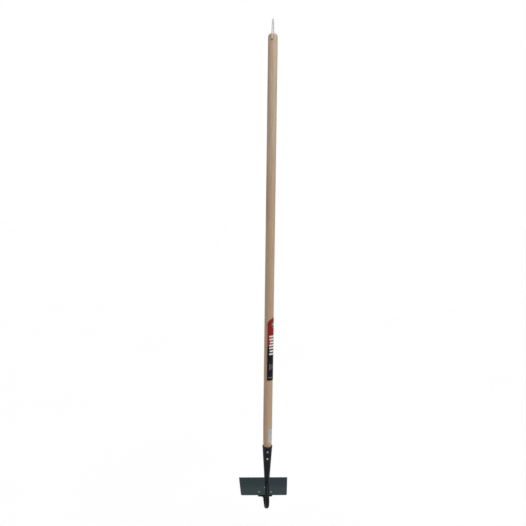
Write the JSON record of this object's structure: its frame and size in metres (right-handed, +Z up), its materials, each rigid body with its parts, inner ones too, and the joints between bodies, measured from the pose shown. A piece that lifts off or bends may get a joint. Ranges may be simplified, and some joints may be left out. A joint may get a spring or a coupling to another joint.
{
  "type": "garden draw hoe",
  "caption": "Long-handled draw hoe: domed ash shaft with a swinging wire loop, forged socket and swan neck, riveted plate blade.",
  "frame": {"origin": "the point inside the top of the hanging loop where a hook carries the hoe, above the shaft's axis", "axes": "+Z up along the shaft with the head at the bottom, +Y from the shaft towards the blade's cutting edge, +X to the right seen from the neck's side"},
  "size_m": [0.165, 0.1555, 1.4933],
  "materials": {
    "ash_wood": "turned and sanded ash, thin clear lacquer",
    "galvanised_wire": "galvanised steel wire, drawn",
    "black_enamel": "near-black stoving enamel over a forged surface",
    "zinc_rivet": "zinc plated steel rivet",
    "green_grey_enamel": "green-grey hammer-finish enamel on rolled steel plate",
    "painted_rivet": "steel rivet, thinly sprayed over, rubbed bright on the crown",
    "label_film": "printed vinyl film, red above dark navy",
    "ticket_paper": "small printed paper sticker"
  },
  "bodies": {
    "handle_and_head": {"shaft": "ash_wood", "socket_neck": "black_enamel", "socket_rivet_upper": "zinc_rivet", "socket_rivet_lower": "zinc_rivet", "blade": "green_grey_enamel", "blade_rivet_left": "painted_rivet", "blade_rivet_right": "painted_rivet", "blade_rivet_front": "painted_rivet", "shaft_label": "label_film", "price_sticker": "ticket_paper"},
    "loop": {"hanging_loop": "galvanised_wire"}
  },
  "joints": [
    {"name": "loop_swing", "type": "hinge", "parent": "handle_and_head", "child": "loop", "pos_m": [0, 0, -0.0574], "axis": [0.2419, 0.9703, 0], "range_deg": [-160, 160]}
  ]
}
